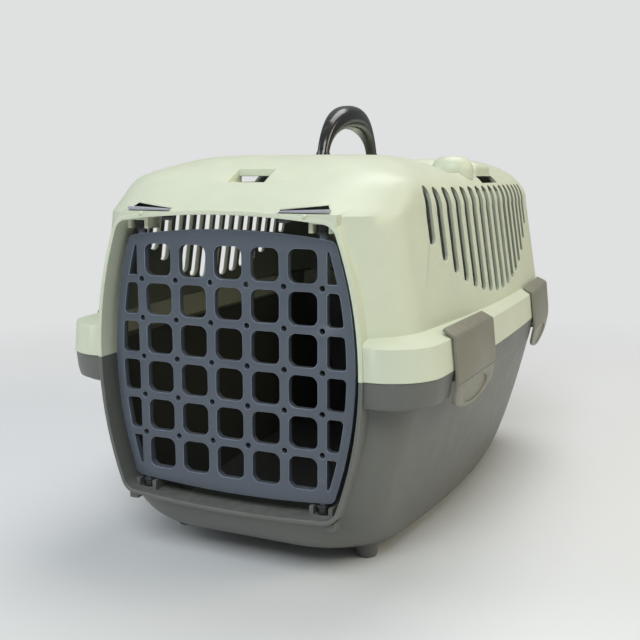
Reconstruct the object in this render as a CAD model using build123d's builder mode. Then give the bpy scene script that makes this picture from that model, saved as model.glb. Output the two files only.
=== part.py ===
from build123d import *
from math import asin, cos, radians, sin, sqrt
import os

# Small animal carrier: drafted tub, domed lid, barrel-shaped grille door, four rocker clips, folding handle.
# Millimetres. +Z is up, the door faces -Y, and the origin is on the floor under the middle of the carrier.

# Whole carrier
HALF_LENGTH = 240.0
BELT_HALF_WIDTH = 160.0
SEAM_Z = 158.0
LID_TOP_Z = 311.0
WALL = 3.0
BELT_BOW = 10.0
FRONT_BOW = 22.0
REAR_BOW = 10.0
FRONT_FLAT_HALF_WIDTH = 70.0
REAR_CORNER_RADIUS = 45.0
FRONT_SETBACK = 2.0
REAR_SETBACK = 11.0

# Tub
SEAM_INSET = 8.0
TUB_DRAFT_RUN = 37.0
FOOT_HEIGHT = 12.0
FOOT_RADIUS = 11.0
FOOT_EDGE_INSET = 33.0
FOOT_END_INSET = 80.0
FOOT_TAPER = 12.0
LUG_X = 79.0
LUG_WIDTH = 11.0
LUG_DROP = 5.5
LUG_SETBACK = 4.0
TOE_Z = 55.0
TOE_RUN = 58.0
TOE_ANGLE = 60.0
TOE_REAR_SHARE = 0.7

# Lid
SHOULDER_Z = 268.0
LID_DRAFT_RUN = 17.0
SHOULDER_REAR_INSET = 18.0
SHOULDER_END_ANGLE = 84.0
SHOULDER_STEPS = 4
SIDE_SHOULDER_RUN = 67.0
FRONT_SLOPE_RUN = 108.0
REAR_SHOULDER_RUN = 60.0

# Belt round the seam
BELT_CORNER_RADIUS = 40.0
BELT_LID_HEIGHT = 23.0
BELT_BEVEL_HEIGHT = 5.0
BELT_LEAN = 2.5
BELT_BASE_HEIGHT = 22.0
BELT_ROLL = 8.0
BELT_SETBACK = 1.0
BELT_INNER_DROP = 0.8
BEVEL_INNER_DROP = 1.15

# Door opening and its rim
RIM_DEPTH = 24.0
RIM_HALF_WIDTH = 108.5
RIM_CORNER_HALF_WIDTH = 88.0
RIM_TOP_CORNER_Z = 265.0
RIM_BOTTOM_CORNER_Z = 53.0
RIM_TOP_BOW = 6.0
RIM_BOTTOM_BOW = 4.0
RIM_CORNER_RADIUS = 14.0

# Grille door
DOOR_RECESS = 11.0
DOOR_THICKNESS = 7.0
DOOR_SIDE_GAP = 6.5
DOOR_TOP_GAP = 11.0
DOOR_BOTTOM_GAP = 9.0
DOOR_BORDER = 6.5
DOOR_CORNER_RADIUS = 6.0
GRID_PITCH = 29.7
GRID_COLUMNS = 5
GRID_ROWS = 6
WINDOW_WIDTH = 22.6
WINDOW_HEIGHT = 24.0
WINDOW_RADIUS = 6.0
CROSSING_HOLE_RADIUS = 2.3
SIDE_WINDOW_RADIUS = 3.0
END_WINDOW_RADIUS = 1.0

# Door pins, forks and ribs
PIN_RADIUS = 5.0
PIN_FLANGE_RADIUS = 5.5
PIN_FLANGE_HEIGHT = 1.8
PIN_LENGTH = 6.5
PIN_TENON_RADIUS = 1.6
PIN_TENON_LENGTH = 5.0
PIN_STUB_RADIUS = 3.3
STUB_LENGTH = 5.0
FORK_CLEARANCE = 0.35
FORK_PRONG = 3.2
FORK_FLOOR = 1.0
FORK_FRONT = 6.0
FORK_MARGIN = 0.6
PIN_END_GAP = 0.3
TENON_END_GAP = 0.5
FIT_CLEARANCE = 0.04

# Door levers on the visor
LEDGE_Z = 269.5
LEDGE_START_X = 42.0
LEDGE_END_X = 93.0
LEDGE_SETBACK = 1.0
POCKET_SWEEP = 10.0
POCKET_INNER_HEIGHT = 4.6
POCKET_OUTER_HEIGHT = 8.0
POCKET_MARGIN = 1.0
LEVER_PIVOT_X = 47.0
LEVER_RECESS = 8.5
LEVER_LIFT = 0.6
LEVER_REACH = 34.0
LEVER_WIDTH = 7.5
LEVER_THICKNESS = 3.0
LEVER_SHAFT_RADIUS = 3.0
LEVER_SHAFT_LENGTH = 7.0
LEVER_HEAD_RADIUS = 4.6
LEVER_HEAD_HEIGHT = 2.4
RUNNING_GAP = 0.3
SHAFT_CLEARANCE = 0.06

# Vent slits
SLIT_COUNT = 16
SLIT_END_INSET = 90.0
SLIT_SHARE = 0.575
SLIT_TOP_DROP = 25.0
SLIT_LOW_Z = 194.0
SLIT_ARC_RADIUS = 250.0

# Clips
CLIP_LENGTH = 96.0
CLIP_END_INSET = 109.0
CLIP_GAP = 0.5
CLIP_SKIN = 2.4
CLIP_BEND_RADIUS = 1.0
CLIP_PIVOT_DEPTH = 3.0
CLIP_PIVOT_DROP = 9.0
CLIP_TAB_DROP = 34.0
CLIP_END_DROP = 24.0
CLIP_TAB_RADIUS = 8.0
TAB_INSET = -4.0
TAB_START = 0.4
HOOK_REACH = 8.0
HOOK_RISE = 4.6
GROOVE_RADIUS = 1.2
GROOVE_INSET = 0.6
GROOVE_DROP = 1.0
KNUCKLE_RADIUS = 4.0
KNUCKLE_LENGTH = 50.0
AXLE_RADIUS = 1.6
EAR_THICKNESS = 4.0
EAR_REACH = 15.5
EAR_RADIUS = 3.0
NOTCH_DEPTH = 13.5
SCOOP_LENGTH = 60.0
SCOOP_HEIGHT = 19.0
SCOOP_DEPTH = 1.1

# Handle and its valley across the lid
HANDLE_HALF_SPAN = 65.0
HANDLE_RISE = 54.5
HANDLE_GRIP_HEIGHT = 16.0
HANDLE_GRIP_WIDTH = 22.0
HANDLE_LEG_LENGTH = 9.5
HANDLE_LEG_WIDTH = 10.0
HANDLE_NECK_HEIGHT = 26.0
HANDLE_FLARE_DROP = 12.5
HANDLE_EYE_RADIUS = 5.5
HANDLE_PIN_RADIUS = 2.5
HANDLE_PIN_COVER = 2.0
VALLEY_DEPTH = 14.0
VALLEY_END_GAP = 3.0
VALLEY_SLOPE_RUN = 26.0
VALLEY_RADIUS = 12.0
PIVOT_HEIGHT = 6.5
PIVOT_BOSS_LENGTH = 13.0
PIVOT_BOSS_HALF_WIDTH = 8.0

# Strap wells, belt guides and belt slots
WELL_HALF_WIDTH = 15.5
WELL_END_INSET = 41.0
WELL_LENGTH = 18.0
WELL_DEPTH = 21.0
WELL_SLOT_HEIGHT = 4.6
GUIDE_EDGE_INSET = 29.0
GUIDE_Y = -24.0
GUIDE_LENGTH = 37.0
GUIDE_WIDTH = 36.0
GUIDE_HEIGHT = 26.0
GUIDE_CROWN = 12.0
BELT_SLOT_INSET = 26.0
BELT_SLOT_GAP = 3.5
BELT_SLOT_LENGTH = 54.0
BELT_SLOT_DROP = 23.0
BELT_SLOT_HEIGHT = 6.0
MOUND_LENGTH = 58.0
MOUND_WIDTH = 30.0
MOUND_DROP = 7.0
MOUND_HEIGHT = 18.0
MOUND_CORNER = 7.0
MOUND_CROWN = 4.0

# Values that follow from the ones above
SEAM_HALF_WIDTH = BELT_HALF_WIDTH - SEAM_INSET
FLOOR_HALF_WIDTH = SEAM_HALF_WIDTH - TUB_DRAFT_RUN
SHOULDER_HALF_WIDTH = SEAM_HALF_WIDTH - LID_DRAFT_RUN
DRAFT = TUB_DRAFT_RUN / (SEAM_Z - FOOT_HEIGHT)
BODY_FRONT = HALF_LENGTH - FRONT_SETBACK
BODY_REAR = HALF_LENGTH - REAR_SETBACK
SHOULDER_REAR = HALF_LENGTH - SHOULDER_REAR_INSET
FRONT_CORNER_RADIUS = SEAM_HALF_WIDTH - FRONT_BOW - FRONT_FLAT_HALF_WIDTH
FOOT_X = FLOOR_HALF_WIDTH - FOOT_EDGE_INSET
FOOT_Y = HALF_LENGTH - FOOT_END_INSET
DOOR_FRONT_Y = DOOR_RECESS - HALF_LENGTH
LEVER_PIVOT_Y = LEVER_RECESS - HALF_LENGTH
SLIT_PITCH = 2 * (HALF_LENGTH - SLIT_END_INSET) / (SLIT_COUNT - 1)
SLIT_WIDTH = SLIT_SHARE * SLIT_PITCH
SLIT_TOP_Z = LID_TOP_Z - SLIT_TOP_DROP
CLIP_CENTRE_Y = HALF_LENGTH - CLIP_END_INSET
VALLEY_FLOOR_Z = LID_TOP_Z - VALLEY_DEPTH
VALLEY_HALF_LENGTH = HANDLE_HALF_SPAN + VALLEY_END_GAP
HANDLE_PIVOT_Z = VALLEY_FLOOR_Z + PIVOT_HEIGHT
HANDLE_TOP_Z = HANDLE_PIVOT_Z + HANDLE_RISE
WELL_END_Y = HALF_LENGTH - WELL_END_INSET
WELL_FLOOR_Z = LID_TOP_Z - WELL_DEPTH
GUIDE_X = SHOULDER_HALF_WIDTH - GUIDE_EDGE_INSET
BELT_SLOT_Z = LID_TOP_Z - BELT_SLOT_DROP
PIN_X = GRID_PITCH * GRID_COLUMNS / 2
PIN_Y = DOOR_FRONT_Y + DOOR_THICKNESS / 2
RIM_FRONT_Y = -HALF_LENGTH
RIM_MID_Z = (RIM_TOP_CORNER_Z + RIM_BOTTOM_CORNER_Z) / 2
RIM_HALF_HEIGHT = (RIM_TOP_CORNER_Z - RIM_BOTTOM_CORNER_Z) / 2
RIM_SIDE_DROP = RIM_HALF_WIDTH - RIM_CORNER_HALF_WIDTH
RIM_SIDE_RADIUS = (RIM_HALF_HEIGHT**2 + RIM_SIDE_DROP**2) / (2 * RIM_SIDE_DROP)
BOW_RADIUS = (HALF_LENGTH**2 + BELT_BOW**2) / (2 * BELT_BOW)
FORK_SLOT_RADIUS = PIN_FLANGE_RADIUS + FORK_CLEARANCE
CLIP_PIVOT = (-CLIP_PIVOT_DEPTH, -CLIP_PIVOT_DROP)

os.makedirs("parts", exist_ok=True)


def save(piece, name):
    """Label one finished piece and write it to its own file."""
    piece.part.label = name
    export_step(piece.part, f"parts/{name}.step")


def plan_outline(half_width, front, rear, bows, corners):
    """Plan of the carrier at one height: bowed sides, straight ends and rounded corners."""
    front_half, rear_half = [half_width - bow for bow in bows]
    with BuildSketch() as outline:
        with BuildLine():
            right = ThreePointArc((front_half, -front), (half_width, 0), (rear_half, rear))
            back = Line(right @ 1, (-rear_half, rear))
            left = ThreePointArc(back @ 1, (-half_width, 0), (-front_half, -front))
            Line(left @ 1, right @ 0)
        make_face()
        fillet(outline.vertices().group_by(Axis.Y)[0], corners[0])
        fillet(outline.vertices().group_by(Axis.Y)[-1], corners[1])
    return outline.sketch


def form(sections, ruled=False):
    """Solid through plan outlines, each given as height, half width, front, rear, bows and corner radii."""
    outlines = [(height, plan_outline(*sizes)) for height, *sizes in sections]
    with BuildPart() as solid:
        for height, outline in outlines:
            with BuildSketch(Plane.XY.offset(height)):
                add(outline)
        loft(ruled=ruled)
    return solid.part


def tub_sections(inset):
    """Plan sections of the tub, from its floor to the seam, drawn in by the wall where inset is the wall."""
    toe_drop = (TOE_Z - FOOT_HEIGHT) / sin(radians(TOE_ANGLE))
    toe_reach = TOE_RUN / (1 - cos(radians(TOE_ANGLE)))
    sections = []
    for angle in (TOE_ANGLE, TOE_ANGLE / 2, 0):
        height = TOE_Z - toe_drop * sin(radians(angle))
        pull = toe_reach * (1 - cos(radians(angle)))
        sections.append((height, pull))
    sections += [((TOE_Z + SEAM_Z) / 2, 0), (SEAM_Z, 0)]
    rows = []
    for height, pull in sections:
        half_width = FLOOR_HALF_WIDTH + DRAFT * (height - FOOT_HEIGHT)
        lift = inset if height < TOE_Z else 0
        rows.append((height + lift, half_width - inset, BODY_FRONT - pull - inset,
                     BODY_REAR - pull * TOE_REAR_SHARE - inset, (FRONT_BOW, REAR_BOW),
                     (FRONT_CORNER_RADIUS - inset, REAR_CORNER_RADIUS - inset)))
    return rows


def lid_wall(height, inset):
    """Plan section of the lid's drafted wall at one height."""
    share = (height - SEAM_Z) / (SHOULDER_Z - SEAM_Z)
    half_width = SEAM_HALF_WIDTH + share * (SHOULDER_HALF_WIDTH - SEAM_HALF_WIDTH)
    rear = BODY_REAR + share * (SHOULDER_REAR - BODY_REAR)
    corners = (FRONT_CORNER_RADIUS - inset, REAR_CORNER_RADIUS - inset)
    return height, half_width - inset, BODY_FRONT - inset, rear - inset, (FRONT_BOW, REAR_BOW), corners


def lid_form(inset):
    """Lid, drawn in by inset: a belt with a bevel, then a drafted wall that turns over the shoulder."""
    bevel_top = SEAM_Z + BELT_LID_HEIGHT + BELT_BEVEL_HEIGHT - BEVEL_INNER_DROP * inset
    bows = (BELT_BOW, BELT_BOW)
    corners = (BELT_CORNER_RADIUS - inset, BELT_CORNER_RADIUS - inset)
    belt = [(SEAM_Z, BELT_HALF_WIDTH - inset, BODY_FRONT - inset, HALF_LENGTH - inset, bows, corners),
            (SEAM_Z + BELT_LID_HEIGHT - BELT_INNER_DROP * inset, BELT_HALF_WIDTH - BELT_LEAN - inset,
             BODY_FRONT - inset, HALF_LENGTH - BELT_LEAN - inset, bows, corners),
            lid_wall(bevel_top, inset), lid_wall(SHOULDER_Z, inset)]
    rows = [lid_wall(SHOULDER_Z, inset)]
    rise = (LID_TOP_Z - inset - SHOULDER_Z) / sin(radians(SHOULDER_END_ANGLE))
    for step in range(1, SHOULDER_STEPS + 1):
        angle = SHOULDER_END_ANGLE * step / SHOULDER_STEPS
        pull = 1 - cos(radians(angle))
        front_share = 1 - step / SHOULDER_STEPS
        front_corner = REAR_CORNER_RADIUS + front_share * (FRONT_CORNER_RADIUS - REAR_CORNER_RADIUS)
        rows.append((SHOULDER_Z + rise * sin(radians(angle)),
                     SHOULDER_HALF_WIDTH - SIDE_SHOULDER_RUN * pull - inset,
                     BODY_FRONT - FRONT_SLOPE_RUN * angle / 90 - inset,
                     SHOULDER_REAR - REAR_SHOULDER_RUN * pull - inset,
                     (REAR_BOW + front_share * (FRONT_BOW - REAR_BOW), REAR_BOW),
                     (front_corner - inset, REAR_CORNER_RADIUS - inset)))
    return form(belt, ruled=True) + form(rows)


def rim_half_width(height):
    """Half width of the barrel-shaped rim at one height."""
    rise = height - RIM_MID_Z
    return RIM_HALF_WIDTH - (RIM_SIDE_RADIUS - sqrt(RIM_SIDE_RADIUS**2 - rise**2))


def barrel_outline(side_inset, top_inset, bottom_inset, corner):
    """Barrel shape seen from the front: the rim's outline, drawn in at its sides, top and bottom."""
    top = RIM_TOP_CORNER_Z - top_inset
    bottom = RIM_BOTTOM_CORNER_Z + bottom_inset
    top_half = rim_half_width(top) - side_inset
    bottom_half = rim_half_width(bottom) - side_inset
    mid_half = RIM_HALF_WIDTH - side_inset
    with BuildSketch() as outline:
        with BuildLine():
            right = ThreePointArc((bottom_half, bottom), (mid_half, RIM_MID_Z), (top_half, top))
            upper = ThreePointArc(right @ 1, (0, top + RIM_TOP_BOW), (-top_half, top))
            left = ThreePointArc(upper @ 1, (-mid_half, RIM_MID_Z), (-bottom_half, bottom))
            ThreePointArc(left @ 1, (0, bottom - RIM_BOTTOM_BOW), right @ 0)
        make_face()
        fillet(outline.vertices(), corner)
    return outline.sketch


def bowed_height(x, corner_z, inset, bow):
    """Height of the opening's bowed top or bottom edge at x."""
    return corner_z + bow * (1 - (x / (rim_half_width(corner_z) - inset)) ** 2)


def front_prism(outline, front_y, rear_y):
    """Outline seen from the front, pulled from front_y back to rear_y."""
    with BuildPart() as prism:
        with BuildSketch(Plane.XZ.offset(-front_y)):
            add(outline)
        extrude(amount=front_y - rear_y)
    return prism.part


def side_prism(points, corner, half_width):
    """Polygon seen from the side, as y and z, with two lower corners rounded, pulled out to both sides."""
    with BuildPart() as prism:
        with BuildSketch(Plane.YZ) as outline:
            with BuildLine():
                Polyline(*points, close=True)
            make_face()
            fillet(outline.vertices().sort_by(Axis.Z)[:2], corner)
        extrude(amount=half_width, both=True)
    return prism.part


def block(x_range, y_range, z_range):
    """Plain block between two coordinates along each axis."""
    size = [high - low for low, high in (x_range, y_range, z_range)]
    middle = [(high + low) / 2 for low, high in (x_range, y_range, z_range)]
    return Pos(*middle) * Box(*size)


def slice_between(low, high):
    """Space between two heights, wider than the carrier."""
    reach = 2 * HALF_LENGTH
    return block((-reach, reach), (-reach, reach), (low, high))


def belt_x(y):
    """Half width of the belt's outer face at y."""
    return BELT_HALF_WIDTH - (BOW_RADIUS - sqrt(BOW_RADIUS**2 - y**2))


def clip_plane(side, end):
    """Plane at a clip's middle on the seam: its x points out of the belt and its y points up."""
    centre_y = end * CLIP_CENTRE_Y
    slope = asin(CLIP_CENTRE_Y / BOW_RADIUS)
    outward = Vector(side * cos(slope), end * sin(slope), 0)
    along = outward.cross(Vector(0, 0, 1))
    return Plane(origin=(side * belt_x(centre_y), centre_y, SEAM_Z), x_dir=outward, z_dir=along)


def offset_path(points, distance):
    """Points of an open path moved outward by a distance, mitred at its corners."""
    moved = []
    for index, point in enumerate(points):
        before = points[max(index - 1, 0)]
        after = points[min(index + 1, len(points) - 1)]
        normals = []
        for start, stop in ((before, point), (point, after)):
            run = Vector(stop[0] - start[0], stop[1] - start[1])
            if run.length > 0:
                normals.append(Vector(-run.Y, run.X).normalized())
        mean = (normals[0] + normals[-1]).normalized()
        reach = distance / mean.dot(normals[0])
        moved.append((point[0] + mean.X * reach, point[1] + mean.Y * reach))
    return moved


def belt_base_form(inset, drop):
    """Tub's part of the belt: a skirt rolled in at its lower edge, under a flange drop below the seam."""
    low = SEAM_Z - BELT_BASE_HEIGHT
    rows = [(low, BELT_ROLL + inset), (low + BELT_ROLL / 3, BELT_ROLL / 3 + inset),
            (low + BELT_ROLL, BELT_LEAN / 2 + inset), (SEAM_Z - drop, inset)]
    return belt_form(rows)


def belt_form(rows):
    """Belt solid through heights and how far each is drawn in from the widest outline."""
    sections = []
    for height, inset in rows:
        corner = BELT_CORNER_RADIUS - inset
        sections.append((height, BELT_HALF_WIDTH - inset, BODY_FRONT - BELT_SETBACK - inset,
                         HALF_LENGTH - inset, (BELT_BOW, BELT_BOW), (corner, corner)))
    return form(sections, ruled=True)


# The opening through the front and the rim round it
rim_solid = front_prism(barrel_outline(0, 0, 0, RIM_CORNER_RADIUS), RIM_FRONT_Y, RIM_FRONT_Y + RIM_DEPTH)
opening = front_prism(barrel_outline(WALL, WALL, WALL, RIM_CORNER_RADIUS - WALL),
                      RIM_FRONT_Y - RIM_DEPTH, RIM_FRONT_Y + 2 * RIM_DEPTH)
sill_z = bowed_height(PIN_X, RIM_BOTTOM_CORNER_Z + WALL, WALL, -RIM_BOTTOM_BOW)
ceiling_z = bowed_height(PIN_X, RIM_TOP_CORNER_Z - WALL, WALL, RIM_TOP_BOW)
low_pin_z = sill_z + FORK_FLOOR + PIN_END_GAP
high_pin_z = ceiling_z - FORK_FLOOR - PIN_END_GAP


def fork(x, low, high, floor_low, floor_high):
    """Fork that holds a door pin: two prongs and a round back, open to the front, on a flat floor."""
    half = FORK_SLOT_RADIUS + FORK_PRONG
    with BuildPart() as holder:
        with BuildSketch(Plane.XY.offset(low)):
            with Locations((x, PIN_Y + (half - FORK_FRONT) / 2)):
                Rectangle(2 * half, half + FORK_FRONT)
            with Locations((x, PIN_Y)):
                Circle(FORK_SLOT_RADIUS, mode=Mode.SUBTRACT)
            with Locations((x, PIN_Y - FORK_FRONT)):
                Rectangle(2 * FORK_SLOT_RADIUS, 2 * FORK_FRONT, mode=Mode.SUBTRACT)
        extrude(amount=high - low)
        with BuildSketch(Plane.XY.offset(floor_low)):
            with Locations((x, PIN_Y + (half - FORK_FRONT) / 2)):
                Rectangle(2 * half, half + FORK_FRONT)
        extrude(amount=floor_high - floor_low)
    return holder.part


# Tub
def clip_ear(seat, way):
    """Ear beside a clip's knuckle, from the tub's wall out round the axle's end."""
    with BuildPart() as ear:
        with BuildSketch(seat.offset(way * (KNUCKLE_LENGTH / 2 + RUNNING_GAP))):
            with Locations(CLIP_PIVOT):
                Circle(EAR_RADIUS)
            with Locations((CLIP_PIVOT[0], -WALL / 2)):
                Rectangle(EAR_REACH, CLIP_PIVOT_DROP + EAR_RADIUS - WALL / 2, align=(Align.MAX, Align.MAX))
            with Locations(CLIP_PIVOT):
                Circle(AXLE_RADIUS + FIT_CLEARANCE, mode=Mode.SUBTRACT)
        extrude(amount=way * EAR_THICKNESS)
    return ear.part


def clip_notch(seat):
    """Space cut out of the belt's skirt for a clip's tab to swing in."""
    half = CLIP_LENGTH / 2 + 2 * CLIP_GAP
    with BuildPart() as notch:
        with BuildSketch(seat.offset(-half)):
            with Locations((-NOTCH_DEPTH, -WALL)):
                Rectangle(2 * NOTCH_DEPTH, 2 * BELT_BASE_HEIGHT, align=(Align.MIN, Align.MAX))
        extrude(amount=2 * half)
    return notch.part


def below_seam(piece):
    """The part of a piece that belongs to the tub."""
    return piece & slice_between(-FOOT_HEIGHT, SEAM_Z)


def above_seam(piece):
    """The part of a piece that belongs to the lid."""
    return piece & slice_between(SEAM_Z, 2 * LID_TOP_Z)


SIDES = (-1, 1)
ENDS = (-1, 1)
seats = [clip_plane(side, end) for side in SIDES for end in ENDS]
tub_outer = form(tub_sections(0))
tub_inner = form(tub_sections(WALL))
tub_belt = belt_base_form(0, 0)
tub_belt_hollow = belt_base_form(WALL, WALL)
tub_rim = below_seam(rim_solid)
tub_opening = below_seam(opening)
notches = [clip_notch(seat) for seat in seats]
ears = [clip_ear(seat, way) - tub_inner for seat in seats for way in (-1, 1)]
low_forks = [fork(side * PIN_X, sill_z - WALL / 2, low_pin_z + PIN_LENGTH - FORK_MARGIN,
                  sill_z - WALL / 2, sill_z + FORK_FLOOR) for side in SIDES]
lugs = [block(sorted((side * LUG_X, side * (LUG_X + LUG_WIDTH))),
              (RIM_FRONT_Y + LUG_SETBACK, RIM_FRONT_Y + RIM_DEPTH),
              (RIM_BOTTOM_CORNER_Z - LUG_DROP, RIM_BOTTOM_CORNER_Z)) for side in SIDES]

with BuildPart() as base_shell:
    add(tub_belt)
    add(tub_belt_hollow, mode=Mode.SUBTRACT)
    add(notches, mode=Mode.SUBTRACT)
    add(tub_outer)
    add(lugs)
    add(tub_inner, mode=Mode.SUBTRACT)
    add(tub_rim)
    add(tub_opening, mode=Mode.SUBTRACT)
    add(low_forks)
    add(ears)
    with BuildSketch(Plane.XY.offset(FOOT_HEIGHT + WALL / 2)):
        with GridLocations(2 * FOOT_X, 2 * FOOT_Y, 2, 2):
            Circle(FOOT_RADIUS)
    extrude(amount=-FOOT_HEIGHT - WALL / 2, taper=FOOT_TAPER)
save(base_shell, "base_shell")

# Lid
valley_points = [(-VALLEY_HALF_LENGTH, VALLEY_FLOOR_Z), (VALLEY_HALF_LENGTH, VALLEY_FLOOR_Z),
                 (VALLEY_HALF_LENGTH + VALLEY_SLOPE_RUN, LID_TOP_Z),
                 (VALLEY_HALF_LENGTH + VALLEY_SLOPE_RUN, 2 * LID_TOP_Z),
                 (-VALLEY_HALF_LENGTH - VALLEY_SLOPE_RUN, 2 * LID_TOP_Z),
                 (-VALLEY_HALF_LENGTH - VALLEY_SLOPE_RUN, LID_TOP_Z)]
valley = side_prism(valley_points, VALLEY_RADIUS, BELT_HALF_WIDTH)
valley_inner = Pos(0, 0, -WALL) * side_prism(valley_points, VALLEY_RADIUS, BELT_HALF_WIDTH)
lid_outer = lid_form(0) - valley
lid_inner = lid_form(WALL) - valley_inner
lid_rim = above_seam(rim_solid)
lid_opening = above_seam(opening)
ledges = [block(sorted((side * LEDGE_START_X, side * LEDGE_END_X)),
                (RIM_FRONT_Y + LEDGE_SETBACK, RIM_FRONT_Y + RIM_DEPTH),
                (RIM_TOP_CORNER_Z - 2 * WALL, LEDGE_Z)) for side in SIDES]
pocket_housings = [block(sorted((side * LEDGE_START_X, side * LEDGE_END_X)),
                         (RIM_FRONT_Y + LEDGE_SETBACK, RIM_FRONT_Y + RIM_DEPTH + WALL),
                         (LEDGE_Z - WALL, LEDGE_Z + POCKET_OUTER_HEIGHT + WALL)) & lid_outer
                   for side in SIDES]
high_forks = [fork(side * PIN_X, high_pin_z - PIN_LENGTH + FORK_MARGIN, ceiling_z + WALL / 2,
                   ceiling_z - FORK_FLOOR, ceiling_z + WALL / 2) for side in SIDES]
bosses = [block((-PIVOT_BOSS_HALF_WIDTH, PIVOT_BOSS_HALF_WIDTH),
                sorted((end * (HANDLE_HALF_SPAN + 2 * RUNNING_GAP),
                        end * (HANDLE_HALF_SPAN + PIVOT_BOSS_LENGTH))),
                (VALLEY_FLOOR_Z - WALL / 2, HANDLE_PIVOT_Z + HANDLE_EYE_RADIUS)) for end in ENDS]


def lever_pocket(side):
    """Wedge-shaped pocket over the visor's ledge that a lever swings back in."""
    inner_x = LEVER_PIVOT_X - LEVER_WIDTH / 2 - POCKET_MARGIN
    outer_x = LEVER_PIVOT_X + LEVER_REACH + POCKET_MARGIN
    back_y = LEVER_PIVOT_Y + LEVER_WIDTH / 2 + POCKET_MARGIN
    with BuildPart() as pocket:
        with BuildSketch(Plane.XY.offset(LEDGE_Z)):
            with BuildLine():
                Polyline((side * inner_x, RIM_FRONT_Y - POCKET_MARGIN), (side * inner_x, back_y),
                         (side * outer_x, back_y + POCKET_SWEEP),
                         (side * outer_x, RIM_FRONT_Y - POCKET_MARGIN), close=True)
            make_face()
        extrude(amount=POCKET_OUTER_HEIGHT)
        with BuildSketch(Plane.XZ):
            with BuildLine():
                Polyline((side * inner_x, LEDGE_Z), (side * outer_x, LEDGE_Z),
                         (side * outer_x, LEDGE_Z + POCKET_OUTER_HEIGHT),
                         (side * inner_x, LEDGE_Z + POCKET_INNER_HEIGHT), close=True)
            make_face()
        extrude(amount=2 * HALF_LENGTH, both=True, mode=Mode.INTERSECT)
    return pocket.part


def strap_well(end):
    """Well for a strap at one end of the lid's top: its housing and the space cut out of it."""
    y_near = end * WELL_END_Y
    y_far = end * (WELL_END_Y - WELL_LENGTH)
    housing = block((-WELL_HALF_WIDTH - WALL, WELL_HALF_WIDTH + WALL),
                    sorted((y_near + end * WALL, y_far - end * WALL)),
                    (WELL_FLOOR_Z - WALL, LID_TOP_Z))
    space = block((-WELL_HALF_WIDTH, WELL_HALF_WIDTH), sorted((y_near + end * 2 * WALL, y_far)),
                  (WELL_FLOOR_Z, LID_TOP_Z + WALL))
    slot = block((-WELL_HALF_WIDTH, WELL_HALF_WIDTH), sorted((y_near, y_far - end * 2 * WALL)),
                 (WELL_FLOOR_Z, WELL_FLOOR_Z + WELL_SLOT_HEIGHT))
    return housing & lid_outer, space, slot


def belt_mound(side, middle_y):
    """Rounded mound on the shoulder over a belt slot."""
    with BuildPart() as mound:
        with BuildSketch(Plane.XY.offset(LID_TOP_Z - MOUND_DROP)):
            with Locations((side * GUIDE_X, middle_y)):
                RectangleRounded(MOUND_WIDTH, MOUND_LENGTH, MOUND_CORNER)
        extrude(amount=-MOUND_HEIGHT)
        fillet(mound.edges().group_by(Axis.Z)[-1], MOUND_CROWN)
    return mound.part - lid_inner


pockets = [lever_pocket(side) for side in SIDES]
wells = [strap_well(end) for end in ENDS]
slot_start_y = GUIDE_Y + GUIDE_LENGTH / 2 + BELT_SLOT_GAP
slot_mid_y = slot_start_y + BELT_SLOT_LENGTH / 2
belt_slots = [block(sorted((side * (SHOULDER_HALF_WIDTH - BELT_SLOT_INSET), side * SHOULDER_HALF_WIDTH)),
                    (slot_start_y, slot_start_y + BELT_SLOT_LENGTH),
                    (BELT_SLOT_Z, BELT_SLOT_Z + BELT_SLOT_HEIGHT)) for side in SIDES]
mounds = [belt_mound(side, slot_mid_y) for side in SIDES]

handle_pin_end = HANDLE_HALF_SPAN + PIVOT_BOSS_LENGTH - HANDLE_PIN_COVER

with BuildPart() as lid_shell:
    add(lid_outer)
    add(lid_inner, mode=Mode.SUBTRACT)
    add(lid_rim)
    add(ledges)
    add(pocket_housings)
    add(lid_opening, mode=Mode.SUBTRACT)
    add(pockets, mode=Mode.SUBTRACT)
    add(high_forks)
    add(bosses)
    add([housing for housing, space, slot in wells])
    add([space for housing, space, slot in wells], mode=Mode.SUBTRACT)
    add([slot for housing, space, slot in wells], mode=Mode.SUBTRACT)
    add(mounds)
    add(belt_slots, mode=Mode.SUBTRACT)
    for index in range(SLIT_COUNT):
        slit_y = (index - (SLIT_COUNT - 1) / 2) * SLIT_PITCH
        low_z = SLIT_LOW_Z + SLIT_ARC_RADIUS - sqrt(SLIT_ARC_RADIUS**2 - slit_y**2)
        with BuildSketch(Plane.YZ):
            with Locations((slit_y, (low_z + SLIT_TOP_Z) / 2)):
                SlotOverall(SLIT_TOP_Z - low_z, SLIT_WIDTH, rotation=90)
        extrude(amount=BELT_HALF_WIDTH, both=True, mode=Mode.SUBTRACT)
    for side in SIDES:
        with Locations((side * LEVER_PIVOT_X, LEVER_PIVOT_Y, LEDGE_Z)):
            Hole(LEVER_SHAFT_RADIUS + SHAFT_CLEARANCE, depth=4 * WALL)
    with BuildSketch(Plane.XZ.offset(handle_pin_end)):
        with Locations((0, HANDLE_PIVOT_Z)):
            Circle(HANDLE_PIN_RADIUS + FIT_CLEARANCE)
    extrude(amount=-2 * handle_pin_end, mode=Mode.SUBTRACT)
save(lid_shell, "lid_shell")

# Belt guides seated on the shoulder beside the valley
for side, name in zip(SIDES, ("left", "right")):
    with BuildPart() as guide:
        with BuildSketch(Plane.XY.offset(LID_TOP_Z)):
            with Locations((side * GUIDE_X, GUIDE_Y)):
                Ellipse(GUIDE_WIDTH / 2, GUIDE_LENGTH / 2)
        extrude(amount=-GUIDE_HEIGHT)
        fillet(guide.edges().group_by(Axis.Z)[-1], GUIDE_CROWN)
        add(lid_outer, mode=Mode.SUBTRACT)
    save(guide, f"belt_guide_{name}")


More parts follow.
